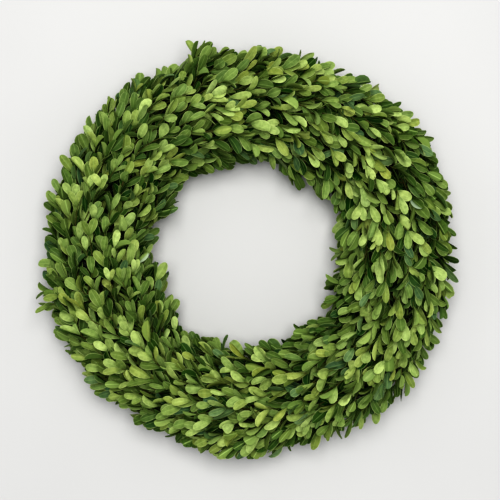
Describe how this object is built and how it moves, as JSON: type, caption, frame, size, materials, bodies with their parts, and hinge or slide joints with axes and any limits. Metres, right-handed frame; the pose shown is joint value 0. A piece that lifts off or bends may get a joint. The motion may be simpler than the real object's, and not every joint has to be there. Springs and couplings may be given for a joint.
{
  "type": "boxwood wreath",
  "caption": "Round boxwood wreath: bunches of leafy sprigs laid one over the next, clockwise, and wired to a ring frame. It lies on its back or hangs from a hook.",
  "frame": {"origin": "on the surface that the wreath lies on, at the centre of its ring", "axes": "+Z out of the wreath's face, +Y to its top when it hangs, +X to its right seen from the front"},
  "size_m": [0.4053, 0.4055, 0.0842],
  "materials": {
    "boxwood_leaf": "waxy satin leaf, paler and matte underneath",
    "boxwood_stem": "thin matte bark",
    "frame_wire": "dark green lacquered steel wire",
    "tie_wire": "green enamelled florist's wire"
  },
  "bodies": {
    "root": {"wire_frame": "frame_wire", "tie_wire": "tie_wire", "leaves_01": "boxwood_leaf", "stems_01": "boxwood_stem", "leaves_02": "boxwood_leaf", "stems_02": "boxwood_stem", "leaves_03": "boxwood_leaf", "stems_03": "boxwood_stem", "leaves_04": "boxwood_leaf", "stems_04": "boxwood_stem", "leaves_05": "boxwood_leaf", "stems_05": "boxwood_stem", "leaves_06": "boxwood_leaf", "stems_06": "boxwood_stem", "leaves_07": "boxwood_leaf", "stems_07": "boxwood_stem", "leaves_08": "boxwood_leaf", "stems_08": "boxwood_stem", "leaves_09": "boxwood_leaf", "stems_09": "boxwood_stem", "leaves_10": "boxwood_leaf", "stems_10": "boxwood_stem", "leaves_11": "boxwood_leaf", "stems_11": "boxwood_stem", "leaves_12": "boxwood_leaf", "stems_12": "boxwood_stem", "leaves_13": "boxwood_leaf", "stems_13": "boxwood_stem", "leaves_14": "boxwood_leaf", "stems_14": "boxwood_stem", "leaves_15": "boxwood_leaf", "stems_15": "boxwood_stem", "leaves_16": "boxwood_leaf", "stems_16": "boxwood_stem", "leaves_17": "boxwood_leaf", "stems_17": "boxwood_stem", "leaves_18": "boxwood_leaf", "stems_18": "boxwood_stem"}
  },
  "joints": []
}
